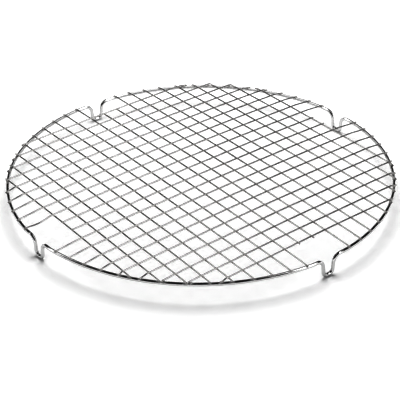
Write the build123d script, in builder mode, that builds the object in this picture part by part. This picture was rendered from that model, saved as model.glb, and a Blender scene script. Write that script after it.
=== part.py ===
from build123d import *
from math import asin, cos, degrees, radians, sin, sqrt
import os

# Round wire cooling rack.  Millimetres, +Z up, feet stand on z = 0 and the
# ring is centred on the Z axis.  About a quarter turn apart, near +X, +Y, -X
# and -Y, the heavy ring wire is bent down into a narrow U that makes a foot.
# Two layers of thin wire lie across the ring: the lower layer runs along Y
# and the upper layer, welded on top of it, runs along X.  The layers are two
# degrees off square to each other.

os.makedirs("parts", exist_ok=True)

# ring and feet
rim_outer_diameter = 320.0
rim_wire_diameter = 3.0
foot_angles = (1.6, 88.7, 180.0, 269.1)  # degrees round the ring from +X
foot_drop = 14.8            # ring axis down to the axis of the foot's bottom
foot_top_half_width = 5.7   # from the foot's middle to each leg, at the ring
foot_low_half_width = 4.3   # the legs draw together towards the bottom
foot_top_bend = 6.4
foot_low_bend = 3.7
foot_flat_start = 12.6      # the bend into the foot begins here
foot_blend_start = 19.0     # the ring leaves its true circle here

# grid
grid_wire_diameter = 1.2
grid_pitch = 13.9
wires_per_layer = 20
layer_turn = 1.0            # degrees: lower layer turned back, upper forward
crown_height = 2.45         # the grid is domed: its centre is this much up
rim_set_down = 0.2          # depth a wire end sinks into the ring's top
stub_past_weld = 1.7        # plain cut end beyond the last crossing wire
free_past_weld = 1.2        # straight length before a wire dips to the ring
plain_run = 4.0             # level end of a lower wire, up to the ring
wrap_reach = 1.9            # how far an end curls out past the ring's axis
weld_on_ring = 3.4          # a weld this near the ring holds the upper wire up
kink_side = -3.4            # sideways bow in the one bent wire end
kink_wire = 12              # its place in the upper layer

rim_radius = (rim_outer_diameter - rim_wire_diameter) / 2
rim_r = rim_wire_diameter / 2
wire_r = grid_wire_diameter / 2
rim_height = foot_drop + rim_r
stack = rim_r + wire_r
seat_height = rim_height + stack - rim_set_down
layer_step = grid_wire_diameter  # the layers meet in bare contact
half_grid = (wires_per_layer - 1) / 2
offsets = [(i - half_grid) * grid_pitch for i in range(wires_per_layer)]


def polar(radius, angle, height):
    """Point at a radius and an angle in degrees round the Z axis."""
    return (radius * cos(radians(angle)), radius * sin(radians(angle)), height)


def foot_plane(angle, distance):
    """Upright plane that touches the ring at a foot, x along the ring."""
    return Plane(
        origin=polar(distance, angle, rim_height),
        x_dir=(-sin(radians(angle)), cos(radians(angle)), 0),
        z_dir=(sin(radians(angle + 90)), -cos(radians(angle + 90)), 0),
    )


def foot_edges(angle, distance):
    """One foot: a U of the ring wire with rounded bends."""
    with BuildLine(foot_plane(angle, distance)) as bend:
        FilletPolyline(
            (-foot_flat_start, 0),
            (-foot_top_half_width, 0),
            (-foot_low_half_width, -foot_drop),
            (foot_low_half_width, -foot_drop),
            (foot_top_half_width, 0),
            (foot_flat_start, 0),
            radius=(foot_top_bend, foot_low_bend, foot_low_bend, foot_top_bend),
        )
    return bend.edges()


def rim_path():
    """Closed centre line of the ring wire with its four feet."""
    turn = degrees(asin(foot_blend_start / rim_radius))
    blend = (foot_blend_start - foot_flat_start) / sin(radians(turn))
    distance = (rim_radius - blend) * cos(radians(turn)) + blend
    edges = []
    next_angles = foot_angles[1:] + (foot_angles[0] + 360,)
    for angle, next_angle in zip(foot_angles, next_angles):
        with BuildLine() as ring:
            ThreePointArc(
                polar(rim_radius, angle + turn, rim_height),
                polar(rim_radius, (angle + next_angle) / 2, rim_height),
                polar(rim_radius, next_angle - turn, rim_height),
            )
            for side in (-1, 1):
                centre = Vector(
                    distance - blend, side * foot_flat_start, rim_height
                ).rotate(Axis.Z, angle)
                ThreePointArc(
                    polar(rim_radius, angle + side * turn, rim_height),
                    centre + Vector(*polar(blend, angle + side * turn / 2, 0)),
                    centre + Vector(*polar(blend, angle, 0)),
                )
        edges += ring.edges()
        edges += foot_edges(angle, distance)
    return Wire(edges)


def rise(along, across):
    """Height of the dome above its edge at a place on the grid."""
    return crown_height * (1 - (along**2 + across**2) / rim_radius**2)


def slope(along):
    """Downward angle, in radians, of a grid wire at a distance along it."""
    return 2 * crown_height * along / rim_radius**2


def curl_points(reach_from, height, lift):
    """Middle and end of the arc by which a wire end wraps over the ring."""
    square_on = reach_from / rim_radius
    radius = (stack + lift) / square_on**2
    turn = asin(wrap_reach * (1 + lift / stack) / square_on / radius)
    start = slope(reach_from)
    points = []
    for angle in (start + turn / 2, start + turn):
        along = reach_from + radius * (sin(angle) - sin(start))
        points.append((along, height + radius * (cos(angle) - cos(start))))
    return points


def crossings(across, side):
    """Distances out along one half of a wire at which the other layer crosses."""
    skew = radians(2 * layer_turn)
    return [side * (a + across * sin(skew)) / cos(skew) for a in offsets]


def place(layer, along, across, height):
    """Turn wire coordinates into a point: lower runs along Y, upper along X."""
    if layer == "lower":
        return Vector(across, along, height).rotate(Axis.Z, -layer_turn)
    return Vector(along, across, height).rotate(Axis.Z, layer_turn)


def cut_short(across):
    """The wires that would run out over a foot stop at the last weld."""
    return abs(across) < grid_pitch


def straight_wire_path(layer, across, lift):
    """Centre line of a wire that ends just past its last weld."""
    end = max(offsets) + stub_past_weld
    height = seat_height + lift + rise(end, across)
    with BuildLine() as line:
        ThreePointArc(
            place(layer, -end, across, height),
            place(layer, 0, across, seat_height + lift + rise(0, across)),
            place(layer, end, across, height),
        )
    return line.wire()


def end_run(across, lift, side):
    """Where a wire leaves the grid's arc, and its height above its seat there."""
    rim_at = sqrt(rim_radius**2 - across**2)
    welds = crossings(across, side)
    if lift == 0:
        return rim_at - plain_run, 0
    if min(abs(weld - rim_at) for weld in welds) < weld_on_ring:
        return rim_at, lift
    return max(weld for weld in welds if weld < rim_at) + free_past_weld, 0


def wrapped_wire_path(layer, across, lift, kink):
    """Centre line of a wire that reaches the ring and curls over it."""
    rim_at = sqrt(rim_radius**2 - across**2)
    leaves = {side: end_run(across, lift, side)[0] for side in (-1, 1)}
    arc = [(-leaves[-1], leaves[-1]), (0, 0), (leaves[1], leaves[1])]
    with BuildLine() as line:
        ThreePointArc(
            *[
                place(layer, along, across, seat_height + lift + rise(out, across))
                for along, out in arc
            ]
        )
        for side in (-1, 1):
            leave, end_lift = end_run(across, lift, side)
            seat = seat_height + end_lift
            if leave < rim_at:
                dip(layer, across, lift, leave, rim_at, side, kink if side < 0 else 0)
            middle, tip = curl_points(rim_at, seat, end_lift)
            ThreePointArc(
                place(layer, side * rim_at, across, seat),
                place(layer, side * middle[0], across, middle[1]),
                place(layer, side * tip[0], across, tip[1]),
            )
    return line.wire()


def dip(layer, across, lift, leave, rim_at, side, kink):
    """Smooth run from the grid's arc down to the top of the ring."""
    top = seat_height + lift + rise(leave, across)
    handle = (rim_at - leave) / 3
    middle = (rim_at + leave) / 2
    points = [
        (leave, 0, top),
        (leave + handle, 0, top - handle * slope(leave)),
        (middle, kink, (top + seat_height) / 2 + kink / 3),
        (rim_at - handle, 0, seat_height + handle * slope(rim_at)),
        (rim_at, 0, seat_height),
    ]
    if kink == 0:
        points.pop(2)
    Bezier(*[place(layer, side * a, across + bow, z) for a, bow, z in points])


def wire_path(layer, across, lift, kink=0):
    """Centre line of one grid wire."""
    if cut_short(across):
        return straight_wire_path(layer, across, lift)
    return wrapped_wire_path(layer, across, lift, kink)


def start_plane(path):
    """Plane square to the start of a centre line."""
    return Plane(origin=path @ 0, z_dir=path % 0)


def grid_wire(layer, across, kink=0):
    """One grid wire, notched where its ends are welded down onto the ring."""
    lift = layer_step if layer == "upper" else 0
    path = wire_path(layer, across, lift, kink)
    with BuildPart() as wire:
        with BuildSketch(start_plane(path)):
            Circle(wire_r)
        sweep(path=path)
        if not cut_short(across):
            with Locations((0, 0, rim_height)):
                Torus(rim_radius, rim_r, mode=Mode.SUBTRACT)
    return wire


# the ring wire with its feet, one closed bent wire
ring_line = rim_path()
with BuildPart() as rim_wire:
    with BuildSketch(start_plane(ring_line)):
        Circle(rim_r)
    sweep(path=ring_line)
rim_wire.part.label = "rim_wire"
export_step(rim_wire.part, "parts/rim_wire.step")

for number, across in enumerate(offsets, start=1):
    # lower layer, along Y
    lower_wire = grid_wire("lower", across)
    lower_wire.part.label = f"lower_wire_{number:02d}"
    export_step(lower_wire.part, f"parts/lower_wire_{number:02d}.step")

    # upper layer, along X, resting on the lower one
    kink = kink_side if number == kink_wire else 0
    upper_wire = grid_wire("upper", across, kink)
    upper_wire.part.label = f"upper_wire_{number:02d}"
    export_step(upper_wire.part, f"parts/upper_wire_{number:02d}.step")
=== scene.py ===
import math
import random

import bmesh
import bpy
from mathutils import Matrix, Vector


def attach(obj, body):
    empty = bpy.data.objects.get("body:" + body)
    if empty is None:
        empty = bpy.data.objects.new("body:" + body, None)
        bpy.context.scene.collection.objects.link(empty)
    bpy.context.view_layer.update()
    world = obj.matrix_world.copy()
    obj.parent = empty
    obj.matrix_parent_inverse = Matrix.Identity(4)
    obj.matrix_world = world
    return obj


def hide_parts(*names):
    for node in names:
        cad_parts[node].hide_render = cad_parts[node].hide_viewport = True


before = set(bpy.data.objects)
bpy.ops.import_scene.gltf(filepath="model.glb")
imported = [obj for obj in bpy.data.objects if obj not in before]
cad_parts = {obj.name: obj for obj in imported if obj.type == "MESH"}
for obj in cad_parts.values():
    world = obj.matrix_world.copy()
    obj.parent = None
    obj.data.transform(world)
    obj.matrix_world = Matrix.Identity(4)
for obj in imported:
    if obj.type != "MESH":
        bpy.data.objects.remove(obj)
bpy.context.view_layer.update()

MM = 0.001

# Round wire cooling rack on a white studio sweep.  Metres, +Z up, the feet
# stand on z = 0 and the ring is centred on the Z axis.  Each of the 41 wires
# is one piece, which stands for the CAD node of the same name.

# ring and feet, with the CAD model's sizes
RIM_RADIUS = 158.5 * MM
RIM_R = 1.5 * MM
FOOT_ANGLES = (1.6, 88.7, 180.0, 269.1)    # degrees round the ring from +X
FOOT_DROP = 14.8 * MM          # ring axis down to the axis of the foot's bottom
FOOT_TOP_HALF = 5.7 * MM
FOOT_LOW_HALF = 4.3 * MM
FOOT_TOP_BEND = 6.4 * MM
FOOT_LOW_BEND = 3.7 * MM
FOOT_FLAT = 12.6 * MM          # the bend into the foot begins here
FOOT_BLEND = 19.0 * MM         # the ring leaves its true circle here

# grid, with the CAD model's sizes
WIRE_R = 0.6 * MM
PITCH = 13.9 * MM
PER_LAYER = 20
LAYER_TURN = math.radians(1.0)  # lower layer turned back, upper forward
CROWN = 2.45 * MM              # the grid's centre is this much up
RIM_SET_DOWN = 0.2 * MM        # depth a wire end sinks into the ring's top
FREE_RUN = 1.2 * MM            # straight length before a wire dips to the ring
PLAIN_RUN = 4.0 * MM           # level end of a lower wire, up to the ring
WELD_ON_RING = 3.4 * MM        # a weld this near the ring holds the upper wire up
KINK_SIDE = -3.4 * MM          # sideways pull on the one bent wire end
KINK_WIRE = 12                 # its place in the upper layer
KINK_SHARE = 0.375             # part of that pull which shows as a bow
KINK_TILT = 3                  # parts of sideways bow to one of sinking

# ends, welds and strays, which differ from the CAD model's or are only here
STUB = 1.2 * MM                # cut end beyond the last crossing wire
WRAP_REACH = 1.6 * MM          # how far an end curls out past the ring's axis
LIFTED_REACH = 1.0 * MM        # the same where a crossing wire holds it up
WELD_SINK = 0.16 * MM          # how far the fused wires settle into each other
WANDER = 0.12 * MM             # a drawn wire strays this much to either side
WANDER_LENGTH = (90 * MM, 170 * MM)
SHEARED_END = ((0.12, 0.95), (0.22, 0.78), (0.26, 0.4))  # (out, size) in wire radii
CROSSING_BEAD = (0.7 * MM, 0.7 * MM, 0.26 * MM)
END_BEAD = (1.15 * MM, 0.95 * MM, 0.3 * MM)
CROSSING_FADE = 1.8 * MM       # how far the mark of a weld spreads, by kind
END_FADE = 3.2 * MM
RIM_FADE = 2.4 * MM
WELDS_PAST_RING = 3.0 * MM     # crossings this far outside the ring still weld

RIM_HEIGHT = FOOT_DROP + RIM_R
STACK = RIM_R + WIRE_R
SEAT = RIM_HEIGHT + STACK - RIM_SET_DOWN
LAYER_STEP = 2 * WIRE_R - WELD_SINK
OFFSETS = [(i - (PER_LAYER - 1) / 2) * PITCH for i in range(PER_LAYER)]

# fineness of the meshes
WIRE_SIDES = 14
RIM_SIDES = 32
WIRE_STEP = 1.1 * MM
RIM_STEP = 2.2 * MM
BEND_STEP = 0.5 * MM
CURL_STEPS = 8
DROP_STEPS = 12
BEAD_FINENESS = 2
UV_PER_METRE = 10

# plate: tones are (grey level, warmth) where bright, where dull and at a weld
RIM_TONES = ((0.68, 0.0), (0.6, 0.0), (0.75, 0.02))
# the grid's plate is the ring's made darker: painted shade on the thin wires
GRID_SHADED_TONES = ((0.46, 0.01), (0.38, 0.01), (0.78, 0.02))
RIM_CLOUDS = 55.0
GRID_CLOUDS = 64.0
CLOUD_DETAIL = 5.0
CLOUD_TONE_RANGE = (0.3, 0.62)
CLOUD_ROUGH_RANGE = (0.3, 0.7)
ROUGHNESS = (0.07, 0.17)
WELD_ROUGHNESS = 0.25          # added right at a weld
WELD_DULLING = 0.85            # share of the metal look lost right at a weld
SPECKS = (900.0, 3.0)          # scale and detail, as for the two below
DRAW_LINES = (4.0, 4.0)
WAVES = (240.0, 2.0)
DRAW_STRETCH = (6.0, 22.0, 1.0)
DRAW_RELIEF = (0.22, 0.04 * MM)    # strength and height of each relief
WAVE_RELIEF = (0.25, 0.2 * MM)

# floor: (radius, height) of the sweep, and the light it gives off by itself
SWEEP = ((0.6, 0.0), (1.5, 0.0), (2.4, 0.0), (2.9, 0.03), (3.3, 0.12),
         (3.6, 0.28), (3.8, 0.5), (3.9, 0.85))
SWEEP_SPOKES = 96
FLOOR_TONES = (0.785, 0.8)
FLOOR_TONE_RANGE = (0.3, 0.7)
FLOOR_CLOUDS = (3.0, 3.0)      # scale and detail
FLOOR_ROUGHNESS = 0.9
FLOOR_SPECULAR = 0.1
GLOW_CENTRE = (0.0, 0.0, 0.0)
GLOW_REACH = (0.2, 0.8)        # distances at which the glow starts and is full
GLOW = (0.325, 1.2)
FOOT_PAINTED_SHADOW = (-2 * MM, 13 * MM)    # painted contact shadow: the floor's own glow fades out close to a foot

# camera, with angles in degrees
CAMERA_AZIMUTH = -37.727
CAMERA_ELEVATION = 31.604
CAMERA_ROLL = -0.784
CAMERA_DISTANCE = 1080.8 * MM
CAMERA_AIM = Vector((-25.97 * MM, -32.26 * MM, RIM_HEIGHT))
CAMERA_LENS = 121.63
CAMERA_SENSOR = 36.0
CAMERA_CLIP = (0.01, 50.0)

# lights; a wall is its near and far limits, each as (dark, full), and its radiance
OVERHEAD_DISTANCE = 0.8
OVERHEAD_ELEVATION = 73.0
OVERHEAD_SIZE = (0.6, 0.6)
OVERHEAD_RADIANCE = 5.6
ROOM_LEVEL = 0.15
ROOM_IN_METAL = 0.06
LEFT_WALL = ((0.52, 0.58), (0.69, 0.64), 2.3)
RIGHT_WALL = ((0.25, 0.35), (0.6, 0.5), 2.6)
WALL_SIDE = (0.2, -0.12)
PANEL_SIZE = (0.17, 0.24)
PANEL_PLACE = (0.17, 0.09)     # behind the middle, and above the ring
PANEL_RADIANCE = 1.3
DISPLAY_GAMMA = 0.52

WHITE = (1.0, 1.0, 1.0, 1.0)
SEED = 7


# ---------------------------------------------------------------- centre lines

def polar(radius, angle, height=0.0):
    """Point at a radius and an angle, in radians, round the Z axis."""
    return Vector((radius * math.cos(angle), radius * math.sin(angle), height))


def arc(centre, radius, start, end, step):
    """Points of a plan arc, in radians, without its last one."""
    count = max(2, int(abs(end - start) * radius / step))
    return [centre + polar(radius, start + (end - start) * i / count)
            for i in range(count)]


def rounded(points, radii, step):
    """Open polyline in (x, z) with its inner corners rounded off."""
    line = [Vector(points[0])]
    for before, here, after, radius in zip(points, points[1:], points[2:], radii):
        here = Vector(here)
        a = (Vector(before) - here).normalized()
        b = (Vector(after) - here).normalized()
        half = a.angle(b) / 2
        centre = here + (a + b).normalized() * radius / math.sin(half)
        first = here + a * radius / math.tan(half) - centre
        turn = first.angle_signed(here + b * radius / math.tan(half) - centre)
        count = max(4, int(abs(turn) * radius / step))
        for i in range(count + 1):
            line.append(centre + Matrix.Rotation(-turn * i / count, 2) @ first)
    line.append(Vector(points[-1]))
    return line


def foot_points(angle, distance):
    """Centre line of one foot, a rounded U in the upright plane at a foot."""
    shape = rounded(
        [(-FOOT_FLAT, 0), (-FOOT_TOP_HALF, 0), (-FOOT_LOW_HALF, -FOOT_DROP),
         (FOOT_LOW_HALF, -FOOT_DROP), (FOOT_TOP_HALF, 0), (FOOT_FLAT, 0)],
        (FOOT_TOP_BEND, FOOT_LOW_BEND, FOOT_LOW_BEND, FOOT_TOP_BEND), BEND_STEP)
    out = polar(distance, angle, RIM_HEIGHT)
    along = polar(1, angle + math.pi / 2)
    return [out + along * p.x + Vector((0, 0, p.y)) for p in shape]


def rim_line():
    """Closed centre line of the ring wire with its four feet."""
    turn = math.asin(FOOT_BLEND / RIM_RADIUS)
    blend = (FOOT_BLEND - FOOT_FLAT) / math.sin(turn)
    distance = (RIM_RADIUS - blend) * math.cos(turn) + blend
    middle = Vector((0, 0, RIM_HEIGHT))
    line = []
    angles = [math.radians(angle) for angle in FOOT_ANGLES]
    for angle, next_angle in zip(angles, angles[1:] + [angles[0] + 2 * math.pi]):
        inward = polar(distance - blend, angle, RIM_HEIGHT)
        along = polar(1, angle + math.pi / 2) * FOOT_FLAT
        line += arc(inward - along, blend, angle - turn, angle, BEND_STEP)
        line += foot_points(angle, distance)[:-1]
        line += arc(inward + along, blend, angle, angle + turn, BEND_STEP)
        line += arc(middle, RIM_RADIUS, angle + turn, next_angle - turn, RIM_STEP)
    return line


def cut_short(across):
    """The wires that would run out over a foot stop at their last weld."""
    return abs(across) < PITCH


def ring_at(across):
    """Distance out along a wire at which it lies over the ring's axis."""
    return math.sqrt(RIM_RADIUS ** 2 - across ** 2)


def rise(along, across):
    """Height of the dome above its edge."""
    return CROWN * (1 - (along ** 2 + across ** 2) / RIM_RADIUS ** 2)


def crossings(across, side):
    """Distances out along one half of a wire at which the other layer crosses."""
    skew = 2 * LAYER_TURN
    return [side * (a + across * math.sin(skew)) / math.cos(skew) for a in OFFSETS]


def steps(start, end):
    """Even steps between two distances, both included."""
    count = max(2, int((end - start) / WIRE_STEP))
    return [start + (end - start) * i / count for i in range(count + 1)]


def end_run(across, lift, side):
    """Where a wire leaves the grid's arc, and its height above its seat there."""
    rim_at = ring_at(across)
    welds = crossings(across, side)
    if lift == 0:
        return rim_at - PLAIN_RUN, 0.0
    if min(abs(weld - rim_at) for weld in welds) < WELD_ON_RING:
        return rim_at, lift
    return max(weld for weld in welds if weld < rim_at) + FREE_RUN, 0.0


def drop(across, top, leave, rim_at, kink):
    """Smooth run from the grid's arc down to the top of the ring."""
    line = []
    for i in range(1, DROP_STEPS + 1):
        t = i / DROP_STEPS
        smooth = t * t * (3 - 2 * t)
        bow = kink * KINK_SHARE * (4 * t * (1 - t)) ** 2
        line.append((leave + (rim_at - leave) * t, across + bow,
                     top + (SEAT - top) * smooth + bow / KINK_TILT))
    return line


def curl(across, rim_at, end_lift):
    """The end of a wire, wrapped a little way over the ring."""
    square_on = rim_at / RIM_RADIUS
    radius = (STACK + end_lift) / square_on ** 2
    reach = WRAP_REACH if end_lift == 0 else LIFTED_REACH
    turn = math.asin(reach / square_on / radius)
    line = []
    for i in range(1, CURL_STEPS + 1):
        a = turn * i / CURL_STEPS
        line.append((rim_at + radius * math.sin(a), across,
                     SEAT + end_lift - radius * (1 - math.cos(a))))
    return line


def half_wire(across, lift, side, kink):
    """(along, across, height) points from a wire's middle to one end."""
    if cut_short(across):
        leave = max(OFFSETS) + STUB
    else:
        leave, end_lift = end_run(across, lift, side)
    line = [(s, across, SEAT + lift + rise(s, across)) for s in steps(0, leave)]
    if cut_short(across):
        return line
    rim_at = ring_at(across)
    if leave < rim_at:
        line += drop(across, line[-1][2], leave, rim_at, kink)
    return line + curl(across, rim_at, end_lift)


def grid_point(layer, along, across, height):
    """A place on a grid wire: lower wires run along Y, upper ones along X."""
    if layer == "lower":
        turned = Matrix.Rotation(-LAYER_TURN, 3, "Z") @ Vector((across, along, 0))
    else:
        turned = Matrix.Rotation(LAYER_TURN, 3, "Z") @ Vector((along, across, 0))
    return turned + Vector((0, 0, height))


def wire_line(layer, across, lift, kink):
    """Centre line of one grid wire, from end to end, not quite straight."""
    ahead = half_wire(across, lift, 1, 0.0)
    behind = half_wire(across, lift, -1, kink)
    local = [(-s, c, z) for s, c, z in reversed(behind)] + ahead[1:]
    wave = random.uniform(*WANDER_LENGTH)
    start = random.uniform(0, 2 * math.pi)
    return [grid_point(layer, s, c + WANDER * math.sin(start + 2 * math.pi * s / wave), z)
            for s, c, z in local]


# --------------------------------------------------------------------- meshes

def new_bmesh():
    """Empty bmesh with the UV layer that the wire finish is drawn along."""
    bm = bmesh.new()
    return bm, bm.loops.layers.uv.new("wire")


def frames(line, closed):
    """Tangent and two normals at every point, carried along without twist."""
    count = len(line)
    tangents = []
    for i in range(count):
        before = line[i - 1] if closed or i else line[0]
        after = line[(i + 1) % count] if closed or i < count - 1 else line[-1]
        tangents.append((after - before).normalized())
    side = tangents[0].cross(Vector((0, 0, 1))).normalized()
    result = []
    for t in tangents:
        side = (side - t * side.dot(t)).normalized()
        result.append((t, side, side.cross(t)))
    return result


def sections(line, radius, closed):
    """Centre, directions and radius of every section, sheared ends included."""
    base = frames(line, closed)
    places = [(p, f, radius) for p, f in zip(line, base)]
    if closed:
        return places
    for end, way in ((0, -1), (-1, 1)):
        p, f = line[end], base[end]
        cap = [(p + f[0] * way * radius * out, f, radius * size)
               for out, size in SHEARED_END]
        places = cap[::-1] + places if end == 0 else places + cap
    return places


def tube(bm, uv, line, radius, sides, closed):
    """Round wire along a line, with softly sheared ends if it is open."""
    places = sections(line, radius, closed)
    rows = []
    for p, (t, a, b), r in places:
        ring = []
        for k in range(sides):
            angle = 2 * math.pi * k / sides
            ring.append(bm.verts.new(p + (a * math.cos(angle) + b * math.sin(angle)) * r))
        rows.append(ring)
    count = len(rows)
    length = 0.0
    for i in range(count if closed else count - 1):
        here, there = rows[i], rows[(i + 1) % count]
        step = (places[(i + 1) % count][0] - places[i][0]).length
        for k in range(sides):
            n = (k + 1) % sides
            face = bm.faces.new((here[k], here[n], there[n], there[k]))
            face.smooth = True
            marks = ((length, k), (length, k + 1), (length + step, k + 1),
                     (length + step, k))
            for loop, (u, v) in zip(face.loops, marks):
                loop[uv].uv = (u * UV_PER_METRE, v / sides)
        length += step
    if not closed:
        bm.faces.new(rows[0][::-1])
        bm.faces.new(rows[-1])


def bead(bm, centre, along, size):
    """Small fused bead where two wires are welded: a squashed ball."""
    across = Vector((0, 0, 1)).cross(along).normalized()
    up = along.cross(across)
    basis = Matrix((along * size[0], across * size[1], up * size[2])).transposed()
    made = bmesh.ops.create_icosphere(bm, subdivisions=BEAD_FINENESS, radius=1.0)
    for v in made["verts"]:
        v.co = centre + basis @ v.co
        for face in v.link_faces:
            face.smooth = True


def finish_mesh(name, bm, welds):
    """Turns a bmesh into an object and marks how near each vertex is to a weld.

    The welds are points, each with the distance over which it fades out.
    """
    bmesh.ops.recalc_face_normals(bm, faces=bm.faces)
    mesh = bpy.data.meshes.new(name)
    bm.to_mesh(mesh)
    bm.free()
    mark = mesh.attributes.new("weld", "FLOAT", "POINT")
    near = []
    for v in mesh.vertices:
        near.append(max(0.0, max(1.0 - (v.co - w).length / fade for w, fade in welds)))
    mark.data.foreach_set("value", near)
    obj = bpy.data.objects.new(name, mesh)
    bpy.context.scene.collection.objects.link(obj)
    return obj


# ---------------------------------------------------------------- shader nodes

def grey(level, warm=0.0):
    """Grey with a little warmth, as a node colour."""
    return (level * (1 + warm), level, level * (1 - warm), 1.0)


def math_node(tree, operation, *values):
    """Scalar maths on sockets or plain numbers."""
    made = tree.nodes.new("ShaderNodeMath")
    made.operation = operation
    for socket, value in zip(made.inputs, values):
        if isinstance(value, (int, float)):
            socket.default_value = value
        else:
            tree.links.new(value, socket)
    return made.outputs[0]


def map_range(tree, value, before, after, shape="LINEAR"):
    """A value moved from one range to another."""
    made = tree.nodes.new("ShaderNodeMapRange")
    made.interpolation_type = shape
    limits = zip(("From Min", "From Max", "To Min", "To Max"), before + after)
    for key, limit in limits:
        made.inputs[key].default_value = limit
    tree.links.new(value, made.inputs["Value"])
    return made.outputs["Result"]


def ease(tree, value, start, end):
    """Smooth step from 0 to 1 as a value goes from start to end."""
    return map_range(tree, value, (start, end), (0.0, 1.0), "SMOOTHSTEP")


def noise(tree, place, scale, detail):
    """Cloudy factor over a place."""
    made = tree.nodes.new("ShaderNodeTexNoise")
    made.inputs["Scale"].default_value = scale
    made.inputs["Detail"].default_value = detail
    tree.links.new(place, made.inputs["Vector"])
    return made.outputs["Fac"]


def two_tones(tree, factor, limits, tones):
    """Colour that goes from one tone to another between two limits."""
    made = tree.nodes.new("ShaderNodeValToRGB")
    for stop, limit, tone in zip(made.color_ramp.elements, limits, tones):
        stop.position = limit
        stop.color = tone
    tree.links.new(factor, made.inputs["Fac"])
    return made.outputs["Color"]


def relief(tree, height, strength, distance, under=None):
    """Bump from a height, on top of another bump if there is one."""
    made = tree.nodes.new("ShaderNodeBump")
    made.inputs["Strength"].default_value = strength
    made.inputs["Distance"].default_value = distance
    tree.links.new(height, made.inputs["Height"])
    if under:
        tree.links.new(under, made.inputs["Normal"])
    return made.outputs["Normal"]


def distance_to(tree, place, point):
    """Distance from a fixed point."""
    made = tree.nodes.new("ShaderNodeVectorMath")
    made.operation = "DISTANCE"
    tree.links.new(place, made.inputs[0])
    made.inputs[1].default_value = point
    return made.outputs["Value"]


def new_material(name):
    """Material with its node tree and main shader."""
    material = bpy.data.materials.new(name)
    material.use_nodes = True
    tree = material.node_tree
    return material, tree, tree.nodes["Principled BSDF"]


# ------------------------------------------------------------------ materials

def weld_stained(tree, place, weld, plate, weld_tone):
    """Plate colour, specked with the tone of a weld close to one."""
    stain = math_node(tree, "MULTIPLY", weld, noise(tree, place, *SPECKS))
    mix = tree.nodes.new("ShaderNodeMix")
    mix.data_type = "RGBA"
    tree.links.new(stain, mix.inputs["Factor"])
    tree.links.new(plate, mix.inputs[6])
    mix.inputs[7].default_value = weld_tone
    return mix.outputs[2]


def drawn_relief(tree, place):
    """Fine lines left along a drawn wire, and soft waves in the plate."""
    uv = tree.nodes.new("ShaderNodeUVMap")
    uv.uv_map = "wire"
    stretch = tree.nodes.new("ShaderNodeMapping")
    stretch.inputs["Scale"].default_value = DRAW_STRETCH
    tree.links.new(uv.outputs["UV"], stretch.inputs["Vector"])
    lines = noise(tree, stretch.outputs["Vector"], *DRAW_LINES)
    fine = relief(tree, lines, *DRAW_RELIEF)
    return relief(tree, noise(tree, place, *WAVES), *WAVE_RELIEF, under=fine)


def chrome(name, tones, cloud_scale):
    """Bright plate over drawn wire, greyer and rougher where it is welded."""
    material, tree, shader = new_material(name)
    bright, dull, weld_tone = [grey(*tone) for tone in tones]
    place = tree.nodes.new("ShaderNodeTexCoord").outputs["Object"]
    mark = tree.nodes.new("ShaderNodeAttribute")
    mark.attribute_name = "weld"
    weld = mark.outputs["Fac"]
    cloud = noise(tree, place, cloud_scale, CLOUD_DETAIL)

    plate = two_tones(tree, cloud, CLOUD_TONE_RANGE, (dull, bright))
    colour = weld_stained(tree, place, weld, plate, weld_tone)
    rough = map_range(tree, cloud, CLOUD_ROUGH_RANGE, ROUGHNESS)
    rougher = math_node(tree, "MULTIPLY_ADD", weld, WELD_ROUGHNESS, rough)
    plated = math_node(tree, "MULTIPLY_ADD", weld, -WELD_DULLING, 1.0)
    tree.links.new(colour, shader.inputs["Base Color"])
    tree.links.new(rougher, shader.inputs["Roughness"])
    tree.links.new(plated, shader.inputs["Metallic"])
    tree.links.new(drawn_relief(tree, place), shader.inputs["Normal"])
    return material


def floor_glow(tree, place):
    """Light the floor gives off: more so far away, and less beside a foot, where it
    paints a contact shadow.
    """
    shine = map_range(tree, distance_to(tree, place, GLOW_CENTRE), GLOW_REACH, GLOW)
    for angle in FOOT_ANGLES:
        foot = polar(RIM_RADIUS, math.radians(angle))
        # the glow fades beside each foot, which paints a contact shadow there
        painted_shadow = ease(tree, distance_to(tree, place, foot), *FOOT_PAINTED_SHADOW)
        shine = math_node(tree, "MULTIPLY", shine, painted_shadow)
    return shine


def floor_material():
    """Matt white studio sweep, lit a little from within."""
    material, tree, shader = new_material("studio_white")
    place = tree.nodes.new("ShaderNodeTexCoord").outputs["Object"]
    cloud = noise(tree, place, *FLOOR_CLOUDS)
    tones = [grey(level) for level in FLOOR_TONES]
    tone = two_tones(tree, cloud, FLOOR_TONE_RANGE, tones)
    shader.inputs["Roughness"].default_value = FLOOR_ROUGHNESS
    shader.inputs["Specular IOR Level"].default_value = FLOOR_SPECULAR
    shader.inputs["Emission Color"].default_value = WHITE
    tree.links.new(tone, shader.inputs["Base Color"])
    tree.links.new(floor_glow(tree, place), shader.inputs["Emission Strength"])
    return material


# --------------------------------------------------------------------- pieces

def make_piece(name, bm, welds, material):
    """Finishes a mesh as the piece that stands for one CAD node."""
    obj = finish_mesh(name + "_look", bm, welds)
    obj.data.materials.append(material)
    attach(obj, "root")
    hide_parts(name)
    return obj


def end_welds(layer, across):
    """Where the two ends of a grid wire are welded down on the ring."""
    if cut_short(across):
        return []
    return [grid_point(layer, side * ring_at(across), across, RIM_HEIGHT + RIM_R)
            for side in (-1, 1)]


def make_rim(material):
    """The ring wire with its four feet."""
    bm, uv = new_bmesh()
    tube(bm, uv, rim_line(), RIM_R, RIM_SIDES, True)
    welds = [(weld, RIM_FADE) for layer in ("lower", "upper") for across in OFFSETS
             for weld in end_welds(layer, across)]
    return make_piece("rim_wire", bm, welds, material)


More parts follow.
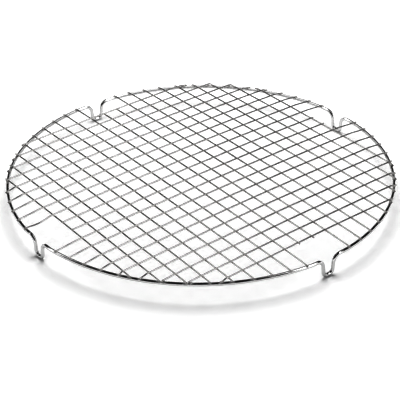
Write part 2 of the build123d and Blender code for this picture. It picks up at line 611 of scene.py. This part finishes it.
def make_wire(layer, number, material):
    """One grid wire with the beads of its welds."""
    across = OFFSETS[number - 1]
    lift = LAYER_STEP if layer == "upper" else 0.0
    kink = KINK_SIDE if layer == "upper" and number == KINK_WIRE else 0.0
    bm, uv = new_bmesh()
    tube(bm, uv, wire_line(layer, across, lift, kink), WIRE_R, WIRE_SIDES, False)
    along = grid_point(layer, 1, across, 0) - grid_point(layer, 0, across, 0)
    welds = []
    for where in crossings(across, 1):
        if math.hypot(where, across) < RIM_RADIUS + WELDS_PAST_RING:
            weld = grid_point(layer, where, across,
                              SEAT + rise(where, across) + LAYER_STEP / 2)
            welds.append((weld, CROSSING_FADE))
            if layer == "upper":
                bead(bm, weld, along, CROSSING_BEAD)
    for weld in end_welds(layer, across):
        welds.append((weld, END_FADE))
        bead(bm, weld, along, END_BEAD)
    make_piece(f"{layer}_wire_{number:02d}", bm, welds, material)


# ----------------------------------------------------------------- the studio

def make_floor():
    """Round white sweep, flat under the rack and turned up far away."""
    bm = bmesh.new()
    rings = []
    for radius, height in SWEEP:
        rings.append([bm.verts.new(polar(radius, 2 * math.pi * k / SWEEP_SPOKES, height))
                      for k in range(SWEEP_SPOKES)])
    hub = bm.verts.new((0, 0, 0))
    for k in range(SWEEP_SPOKES):
        n = (k + 1) % SWEEP_SPOKES
        bm.faces.new((hub, rings[0][k], rings[0][n]))
        for inner, outer in zip(rings, rings[1:]):
            bm.faces.new((inner[k], outer[k], outer[n], inner[n]))
    for face in bm.faces:
        face.smooth = True
    mesh = bpy.data.meshes.new("studio_sweep")
    bm.to_mesh(mesh)
    bm.free()
    obj = bpy.data.objects.new("studio_sweep", mesh)
    obj.data.materials.append(floor_material())
    bpy.context.scene.collection.objects.link(obj)


def toward(azimuth, elevation):
    """Direction from the rack to a place at angles in degrees, as for a camera."""
    a, e = math.radians(azimuth), math.radians(elevation)
    return Vector((math.sin(a) * math.cos(e), -math.cos(a) * math.cos(e), math.sin(e)))


def make_camera():
    """Long lens from the front left, a third of the way up."""
    data = bpy.data.cameras.new("camera")
    data.lens = CAMERA_LENS
    data.sensor_width = CAMERA_SENSOR
    data.clip_start, data.clip_end = CAMERA_CLIP
    obj = bpy.data.objects.new("camera", data)
    back = toward(CAMERA_AZIMUTH, CAMERA_ELEVATION)
    obj.location = CAMERA_AIM + back * CAMERA_DISTANCE
    obj.rotation_mode = "QUATERNION"
    roll = Matrix.Rotation(math.radians(CAMERA_ROLL), 3, back).to_quaternion()
    obj.rotation_quaternion = roll @ (-back).to_track_quat("-Z", "Y")
    bpy.context.scene.collection.objects.link(obj)
    bpy.context.scene.camera = obj


def soft_box(name, shape, size, radiance):
    """Area light of a given radiance, hidden from the camera."""
    data = bpy.data.lights.new(name, "AREA")
    data.shape = shape
    data.size, data.size_y = size
    data.energy = radiance * math.pi * size[0] * size[1]
    obj = bpy.data.objects.new(name, data)
    obj.visible_camera = False
    bpy.context.scene.collection.objects.link(obj)
    return obj


def overhead_light():
    """Soft box above and behind the rack, which throws its shadow forward."""
    obj = soft_box("overhead", "ELLIPSE", OVERHEAD_SIZE, OVERHEAD_RADIANCE)
    back = toward(CAMERA_AZIMUTH + 180, OVERHEAD_ELEVATION)
    obj.location = back * OVERHEAD_DISTANCE
    obj.rotation_mode = "QUATERNION"
    obj.rotation_quaternion = back.to_track_quat("Z", "Y")
    obj.visible_glossy = False


def back_panel(rim):
    """Low dim panel over the back of the ring, seen in the ring's metal alone."""
    obj = soft_box("back_panel", "RECTANGLE", PANEL_SIZE, PANEL_RADIANCE)
    away = toward(CAMERA_AZIMUTH + 180, 0)
    obj.location = away * PANEL_PLACE[0] + Vector((0, 0, RIM_HEIGHT + PANEL_PLACE[1]))
    obj.rotation_euler = (0, 0, math.radians(CAMERA_AZIMUTH))
    obj.visible_diffuse = False
    only = bpy.data.collections.new("back_panel_lights")
    only.objects.link(rim)
    obj.light_linking.receiver_collection = only


def soft_wall(tree, along, aside, near, far, radiance):
    """Broad soft light to one side, a band in one axis and one-sided in the other."""
    band = math_node(tree, "MULTIPLY", ease(tree, along, *far), ease(tree, along, *near))
    one_side = ease(tree, aside, *WALL_SIDE)
    both = math_node(tree, "MULTIPLY", band, one_side)
    return math_node(tree, "MULTIPLY", both, radiance)


def dark_room():
    """Dim room whose two soft walls show only in reflections."""
    world = bpy.data.worlds.new("dark_room")
    world.use_nodes = True
    tree = world.node_tree
    background = tree.nodes["Background"]
    axes = tree.nodes.new("ShaderNodeSeparateXYZ")
    tree.links.new(tree.nodes.new("ShaderNodeTexCoord").outputs["Generated"],
                   axes.inputs[0])
    in_metal = tree.nodes.new("ShaderNodeLightPath").outputs["Is Glossy Ray"]
    left = soft_wall(tree, axes.outputs["Y"], axes.outputs["X"], *LEFT_WALL)
    right = soft_wall(tree, axes.outputs["X"], axes.outputs["Y"], *RIGHT_WALL)
    walls = math_node(tree, "ADD", left, right)
    change = math_node(tree, "ADD", walls, ROOM_IN_METAL - ROOM_LEVEL)
    seen = math_node(tree, "MULTIPLY", change, in_metal)
    level = math_node(tree, "ADD", seen, ROOM_LEVEL)
    tree.links.new(level, background.inputs["Strength"])
    background.inputs["Color"].default_value = WHITE
    bpy.context.scene.world = world


random.seed(SEED)
rim_chrome = chrome("rim_chrome", RIM_TONES, RIM_CLOUDS)
# the grid wires get a darker copy of the ring's plate, which paints shade on them
grid_chrome = chrome("grid_chrome", GRID_SHADED_TONES, GRID_CLOUDS)
ring = make_rim(rim_chrome)
for wire_number in range(1, PER_LAYER + 1):
    make_wire("lower", wire_number, grid_chrome)
    make_wire("upper", wire_number, grid_chrome)
make_floor()
make_camera()
overhead_light()
dark_room()
back_panel(ring)
bpy.context.scene.view_settings.view_transform = "Standard"
bpy.context.scene.view_settings.gamma = DISPLAY_GAMMA
